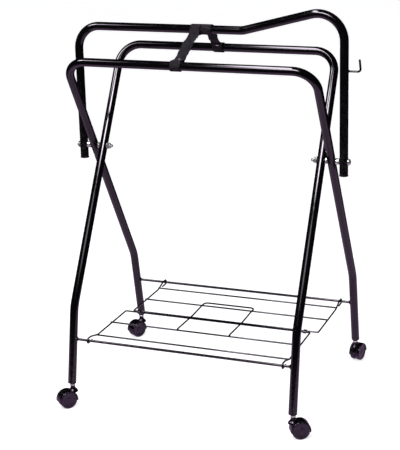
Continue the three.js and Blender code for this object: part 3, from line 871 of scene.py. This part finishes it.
def smooth_line(points, spacing):
    """A line resampled at about equal spacing, its corners eased by averaging."""
    line = [Vector(p) for p in points]
    lengths = [0.0]
    for a, b in zip(line, line[1:]):
        lengths.append(lengths[-1] + (b - a).length)
    count = round(lengths[-1] / spacing)
    out = []
    i = 0
    for k in range(count + 1):
        goal = lengths[-1] * k / count
        while i < len(line) - 2 and lengths[i + 1] < goal:
            i += 1
        out.append(line[i].lerp(line[i + 1], (goal - lengths[i]) / (lengths[i + 1] - lengths[i])))
    for _ in range(3):
        out = [out[0], *((a + b * 2 + c) / 4 for a, b, c in zip(out, out[1:], out[2:])), out[-1]]
    return out


def crumple(share, across):
    """How worn webbing strays from flat, as (sideways, off): waves, a slight twist and lifted edges.
    share is 0 at the rail and 1 at the ridge; across is -1 and 1 at the two edges."""
    slack = math.sin(math.pi * share) ** 2
    waves = math.sin(11 * share + 0.6) + 0.6 * math.sin(23 * share)
    twist = across * math.sin(8 * share + 1.1) + 0.5 * across * math.sin(31 * share)
    edge = across ** 4 * math.sin((47 + 6 * across) * share)
    sideways = STRAP_SWAY * slack * math.sin(9 * share)
    off = slack * (STRAP_WAVE * waves + STRAP_TWIST * twist + STRAP_CURL * edge)
    return sideways, off


def build_strap(name, rail_yz, rail_x, ridge_x, rivet_body):
    """One check strap: webbing looped round a rail and round the ridge, and its rivet."""
    rail = at(rail_x, *rail_yz)
    ridge = at(ridge_x, 0, RIDGE_Z)
    flat = Vector((0, ridge.y - rail.y, ridge.z - rail.z))
    span = flat.length
    up = flat.normalized()
    off = Vector((1, 0, 0)).cross(up)
    off = off if off.z > 0 else -off
    line = smooth_line(strap_line(span), 0.0012)
    half_t = STRAP_T / 2
    half_w = STRAP_W / 2
    across = [0.95 - 0.1 * k for k in range(1, 19)]
    upper = [
        (1, 0.35), (0.985, 0.9), (0.95, 1), *((x, 1) for x in across), (-0.95, 1), (-0.985, 0.9), (-1, 0.35),
    ]
    edge = [(half_w * x, half_t * y) for x, y in upper]
    outline = [*edge, *((x, -y) for x, y in reversed(edge))]
    verts = []
    uvs = []
    run = 0.0
    for i, point in enumerate(line):
        ahead = (line[min(i + 1, len(line) - 1)] - line[max(i - 1, 0)]).normalized()
        normal = Vector((-ahead.y, ahead.x))
        share = min(max(point.x / span, 0.0), 1.0)
        share = share * share * (3 - 2 * share)
        middle_x = rail_x + (ridge_x - rail_x) * share
        run += (point - line[i - 1]).length if i else 0.0
        for x, y in outline:
            place = point + normal * y
            sideways, lift = crumple(min(max(place.x / span, 0.0), 1.0), x / half_w)
            spot = at(middle_x + x + sideways, rail.y, rail.z) + up * place.x + off * (place.y + lift)
            verts.append(spot)
            uvs.append((run, x + y))
    sides = len(outline)
    rings = [verts[i:i + sides] for i in range(0, len(verts), sides)]
    obj = piece(name + "_webbing", [loft(rings)], WEBBING, None, [name + "_strap"])
    layer = obj.data.uv_layers.new(name="weave")
    for loop in obj.data.loops:
        layer.data[loop.index].uv = uvs[loop.vertex_index]
    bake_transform(obj)

    centre = box_middle(name + "_strap_rivet")
    for side, facing_off in (("top", off), ("back", -off)):
        seat = STRAP_T + 0.0001
        head = rounded(
            [
                (0, seat - 0.0009), (0.0016, seat - 0.0009), (0.0016, seat), (0.0042, seat),
                (0.0041, seat + 0.0005), (0.0030, seat + 0.0011), (0.0014, seat + 0.0013),
                (0.0009, seat + 0.0009), (0, seat + 0.0008),
            ],
            0.0003,
        )
        place = facing(centre, facing_off)
        replaced = [name + "_strap_rivet"] if side == "top" else []
        piece(f"{name}_rivet_{side}", [turned(head, 32, place)], ZINC, rivet_body, replaced)


# ------------------------------------------------------------------ casters


def hood_section():
    """Outline of the hood's wall and its two lips, as (across, radius from the axle)."""
    half = LIP_INNER_Y + LIP_T
    side = [
        (0, HOOD_R), (half - 0.0020, HOOD_R), (half - 0.0009, HOOD_R - 0.0003),
        (half - 0.0002, HOOD_R - 0.0010), (half, HOOD_R - 0.0020), (half, LIP_R + 0.0005),
        (half - 0.0002, LIP_R + 0.0001), (half - 0.0005, LIP_R), (LIP_INNER_Y + 0.0002, LIP_R + 0.0001),
        (LIP_INNER_Y, LIP_R + 0.0004), (LIP_INNER_Y, HOOD_INNER_R - 0.0004),
        (LIP_INNER_Y - 0.0004, HOOD_INNER_R), (0, HOOD_INNER_R),
    ]
    mirrored = [(-y, r) for y, r in reversed(side[1:-1])]
    return [*side, *mirrored]


def hood(place):
    """The hood, bent over both treads, with its two lower ends eased."""
    section = hood_section()
    middle_r = (HOOD_R + HOOD_INNER_R) / 2
    rings = []
    steps = 72
    turn = math.pi + 2 * HOOD_DIP
    for k in range(steps + 1):
        angle = turn * k / steps - HOOD_DIP
        eased = k in (0, steps)
        ring = []
        for y, r in section:
            radius = r
            if eased:
                on_wall = r > LIP_R + HOOD_END_CUT
                radius = middle_r + (r - middle_r) * HOOD_END_WALL if on_wall else r + HOOD_END_CUT
                y *= HOOD_END_WIDTH
            spot = (TRAIL + radius * math.cos(angle), y, WHEEL_R + radius * math.sin(angle))
            ring.append(place @ Vector(spot))
        rings.append(ring)
    return loft(rings)


def web(place):
    """The plate between the two wheels, with a rounded lower end about the axle."""
    outline = []
    top_r = (HOOD_R + HOOD_INNER_R) / 2
    steps = 40
    for radius, first in ((top_r, 0), (WEB_HUB_R, math.pi)):
        for k in range(steps + 1):
            angle = first + math.pi * k / steps
            outline.append((radius * math.cos(angle), radius * math.sin(angle)))
    rings = []
    half = WEB_T / 2
    for y, scale in ((-half, 0.98), (-half + 0.0004, 1.0), (half - 0.0004, 1.0), (half, 0.98)):
        rings.append([place @ Vector((TRAIL + x * scale, y, WHEEL_R + z * scale)) for x, z in outline])
    return loft(rings)


def build_caster(place_name):
    """One caster: socket, stem and collar on the frame; housing and axle on the swivel; two wheels."""
    swivel = joint["swivel_" + place_name]
    axle = Vector(joint[f"roll_{place_name}_a"]["pos_m"])
    spot = Vector(swivel["pos_m"])
    ahead = axle - spot
    heading = math.atan2(ahead.y, ahead.x)
    place = Matrix.Translation((spot.x, spot.y, 0)) @ Matrix.Rotation(heading, 4, "Z")
    upright = Matrix.Translation((spot.x, spot.y, 0))
    rear = 1 if spot.y > 0 else -1
    leg_body = swivel["parent"]

    leg_end = Matrix.Translation((spot.x, rear * FOOT_Y, FOOT_Z)) @ Matrix.Rotation(rear * FOOT_TILT, 4, "X")
    top = 0.0003 + SOCKET_L
    socket = rounded(
        [(0, -0.0028), (0.0088, -0.0028), (TUBE_R, -0.0018), (TUBE_R + 0.0002, -0.0004), (0.0079, -0.0003),
         (PLUG_R, 0.002), (PLUG_R, top - 0.001), (PLUG_R - 0.001, top), (0, top)],
        0.0006,
    )
    piece(f"leg_socket_{place_name}", [turned(socket, 40, leg_end)], MOULDING, leg_body,
          [f"caster_socket_{place_name}"])

    stem = rounded(
        [
            (0, 0.0465), (0.0036, 0.0465), (0.0039, 0.0470), (0.0039, COLLAR_Z[0]), (0.0058, COLLAR_Z[0]),
            (0.0062, 0.0539), (0.0062, 0.0568), (0.0058, COLLAR_Z[1]), (0.0039, COLLAR_Z[1] + 0.0001),
            (0.0039, STEM_TOP - 0.0008), (0.0032, STEM_TOP), (0, STEM_TOP),
        ],
        0.0003,
    )
    stem_node = f"caster_stem_{place_name}"
    piece(f"stem_zinc_{place_name}", [turned(stem, 36, upright)], ZINC, leg_body, [stem_node])

    neck = rounded(
        [
            (0.0044, 0.0375), (0.0125, 0.0375), (0.0108, 0.0415), (0.0078, 0.0445), (0.0058, 0.0478),
            (0.0054, 0.0505), (0.0060, 0.0520), (0.0062, BOSS_TOP), (0.0048, BOSS_TOP), (0.0044, 0.0524),
            (0.0044, 0.0375),
        ],
        0.0006,
    )[:-1]
    body = "caster_" + place_name
    housing = [hood(place), web(place), turned(neck, 40, upright)]
    housing_node = f"caster_housing_{place_name}"
    piece(f"hood_{place_name}", housing, MOULDING, body, [housing_node])

    across = place @ Matrix.Translation((TRAIL, 0, WHEEL_R)) @ Matrix.Rotation(-math.pi / 2, 4, "X")
    pin = rounded([(0, -AXLE_END_Y), (AXLE_R, -AXLE_END_Y), (AXLE_R, AXLE_END_Y), (0, AXLE_END_Y)], 0.0006)
    axle_node = f"caster_axle_{place_name}"
    piece(f"axle_zinc_{place_name}", [turned(pin, 32, across)], ZINC, body, [axle_node])

    inner = WHEEL_INNER_Y
    outer = WHEEL_INNER_Y + WHEEL_W
    bore_and_tread = [
        (0, outer - 0.0020), (WHEEL_BORE_R, outer - 0.0020), (WHEEL_BORE_R, inner), (0.0198, inner),
        (0.0206, inner + 0.0006), (WHEEL_R, inner + 0.0018), (WHEEL_R, outer - 0.0026),
        (0.0207, outer - 0.0011), (0.0199, outer - 0.0003), (0.0188, outer),
    ]
    dished_face = [
        (0.0159, outer), (0.0152, outer - 0.0004), (0.0144, outer - 0.0008), (0.0100, outer - 0.0008),
        (0.0096, outer - 0.0010), (0.0092, outer - 0.0008), (0.0046, outer - 0.0007),
        (0.0040, outer - 0.0004), (0.0030, outer - 0.0002), (0, outer - 0.0001),
    ]
    profile = [*bore_and_tread, *dished_face]
    for wheel, side in (("a", 1), ("b", -1)):
        turn = Matrix.Rotation(-side * math.pi / 2, 4, "X")
        spin = place @ Matrix.Translation((TRAIL, 0, WHEEL_R)) @ turn
        key = f"{place_name}_{wheel}"
        disc = turned(profile, 72, spin)
        piece(f"wheel_disc_{key}", [disc], WHEEL, f"wheel_{key}", [f"caster_wheel_{key}"])


build_tubes()
build_ridge_plugs()
build_bridle_hook()
build_pivots()
build_rods()
build_panel("front_shelf_wires", FRONT_SPAN, 0.0, -1, "shelf_front", "front_shelf_panel")
build_panel("rear_shelf_wires", REAR_SPAN, EDGE_GAP, 1, "shelf_rear", "rear_shelf_panel")
build_stop_loop()
build_clips()
build_strap("near", on_leg(RAIL_REACH, 1), NEAR_STRAP_X, NEAR_STRAP_X, "outer_frame")
build_strap("far", on_leg(RAIL_REACH, -1), FAR_STRAP_RAIL_X, FAR_STRAP_RIDGE_X, "inner_frame")
for caster in ("front_left", "front_right", "rear_left", "rear_right"):
    build_caster(caster)


# ------------------------------------------------------------------ studio

FLOOR_HALF = 9.0
# Violet colour of a painted reflection of the floor, on a card that glows only in the gloss
PAINTED_FLOOR_REFLECTION = (0.58, 0.41, 0.61)  # how the paper under the rack shows in the gloss
PAPER_X = (-1.20, 1.20)
PAPER_Y = (-0.85, 0.65)
PAPER_GLOW = 0.62  # to the camera only
CARD_LIFT = 0.0005  # of the paper's card above the floor
BOX_Z = 2.3
BOX_PLATEAU = 0.45  # share of a box's half size that is at full brightness


def add_sheet(name, x_span, y_span, height, material):
    """A level rectangle that belongs to the studio."""
    left, right = x_span
    front, back = y_span
    corners = [(left, front, height), (right, front, height), (right, back, height), (left, back, height)]
    mesh = bpy.data.meshes.new(name)
    mesh.from_pydata(corners, [], [(0, 1, 2, 3)])
    mesh.materials.append(material)
    sheet = bpy.data.objects.new(name, mesh)
    bpy.context.scene.collection.objects.link(sheet)
    return sheet


def add_card(name, x_span, y_span, height, colour, peak, plateau):
    """A glowing card that only the gloss mirrors, brightest within its plateau and fading to its rim."""
    material, nodes, links = node_material(name)
    centred = nodes.new("ShaderNodeVectorMath")
    centred.operation = "MULTIPLY_ADD"
    centred.inputs[1].default_value = (2, 2, 0)
    centred.inputs[2].default_value = (-1, -1, 0)
    links.new(nodes.new("ShaderNodeTexCoord").outputs["Generated"], centred.inputs[0])
    reach = nodes.new("ShaderNodeVectorMath")
    reach.operation = "LENGTH"
    links.new(centred.outputs["Vector"], reach.inputs[0])
    fade = nodes.new("ShaderNodeMapRange")
    fade.interpolation_type = "SMOOTHSTEP"
    fade.inputs["From Min"].default_value = plateau
    fade.inputs["From Max"].default_value = max(1.0, plateau + 0.15)
    fade.inputs["To Min"].default_value = peak
    fade.inputs["To Max"].default_value = 0.0
    links.new(reach.outputs["Value"], fade.inputs["Value"])
    glow = nodes.new("ShaderNodeEmission")
    glow.inputs["Color"].default_value = (*colour, 1.0)
    links.new(fade.outputs["Result"], glow.inputs["Strength"])
    links.new(glow.outputs["Emission"], nodes["Material Output"].inputs["Surface"])
    material.cycles.emission_sampling = "NONE"
    card = add_sheet(name, x_span, y_span, height, material)
    card.visible_camera = False
    card.visible_diffuse = False
    card.visible_shadow = False


def build_floor():
    """White paper. It glows a little to the camera, so that only contact shadows show on it."""
    material, nodes, links = node_material("floor_paper")
    shader = nodes["Principled BSDF"]
    shader.inputs["Roughness"].default_value = 0.9
    shader.inputs["Specular IOR Level"].default_value = 0.1
    tone = add_range(nodes, links, add_noise(nodes, links, 3, 3), 0.0, 1.0)
    paper = add_mix(nodes, links, tone, (0.84, 0.84, 0.85), (0.86, 0.86, 0.87))
    links.new(paper, shader.inputs["Base Color"])
    shader.inputs["Emission Color"].default_value = (1.0, 1.0, 1.0, 1.0)
    rays = nodes.new("ShaderNodeLightPath")
    glow = add_range(nodes, links, rays.outputs["Is Camera Ray"], 0.0, PAPER_GLOW, 0.0, 1.0)
    links.new(glow, shader.inputs["Emission Strength"])
    floor = add_sheet("floor", (-FLOOR_HALF, FLOOR_HALF), (-FLOOR_HALF, FLOOR_HALF), 0.0, material)
    floor.visible_glossy = False
    # A violet card just above the paper glows only in the gloss: a painted reflection of the floor under the
    # rack
    add_card("painted_floor_reflection_card", PAPER_X, PAPER_Y, CARD_LIFT, PAINTED_FLOOR_REFLECTION, 1.0, 1.3)


def build_world():
    """White behind the rack, a soft fill on dull surfaces, and a dark studio in the gloss."""
    world = bpy.data.worlds.new("studio")
    world.use_nodes = True
    bpy.context.scene.world = world
    nodes, links = world.node_tree.nodes, world.node_tree.links
    rays = nodes.new("ShaderNodeLightPath")
    soft, dark, white = (0.45, 0.45, 0.46), (0.006, 0.005, 0.007), (1.0, 1.0, 1.0)
    fill = add_mix(nodes, links, rays.outputs["Is Glossy Ray"], soft, dark)
    seen = add_mix(nodes, links, rays.outputs["Is Camera Ray"], fill, white)
    links.new(seen, nodes["Background"].inputs["Color"])


def add_softbox(name, centre, half, power, peak):
    """A soft box hung level: a lamp that lights dull surfaces, and a card that the gloss mirrors."""
    data = bpy.data.lights.new(name, "AREA")
    data.shape = "RECTANGLE"
    data.size = 2 * half[0]
    data.size_y = 2 * half[1]
    data.energy = power
    lamp = bpy.data.objects.new(name, data)
    lamp.location = (*centre, BOX_Z)
    lamp.visible_glossy = False
    bpy.context.scene.collection.objects.link(lamp)
    spans = [(c - h, c + h) for c, h in zip(centre, half)]
    add_card(name + "_card", *spans, BOX_Z, (1.0, 1.0, 1.0), peak, BOX_PLATEAU)


def build_camera():
    """A long lens at the photograph's height and side."""
    azimuth, elevation, roll = math.radians(21.27), math.radians(15.71), math.radians(-1.46)
    data = bpy.data.cameras.new("camera")
    data.lens = 100.1
    data.sensor_width = 36.0
    data.sensor_fit = "VERTICAL"
    data.sensor_height = 36.0
    data.shift_x = -0.0199
    data.shift_y = -0.0808
    camera = bpy.data.objects.new("camera", data)
    camera.location = (1.0325, -2.6844, 1.3111)
    look = Matrix.Rotation(azimuth, 4, "Z") @ Matrix.Rotation(math.pi / 2 - elevation, 4, "X")
    camera.rotation_mode = "QUATERNION"
    camera.rotation_quaternion = (look @ Matrix.Rotation(roll, 4, "Z")).to_quaternion()
    bpy.context.scene.collection.objects.link(camera)
    bpy.context.scene.camera = camera


build_floor()
build_world()
add_softbox("front_box", (0.0, -1.68), (0.85, 0.50), power=22, peak=26)
add_softbox("strip_box", (-0.28, -0.58), (0.23, 0.90), power=14, peak=18)
add_softbox("side_box", (-1.65, -0.98), (0.75, 0.50), power=4, peak=20)
add_softbox("tail_box", (0.0, -2.55), (1.30, 0.50), power=3, peak=3)
build_camera()
bpy.context.scene.view_settings.view_transform = "Standard"
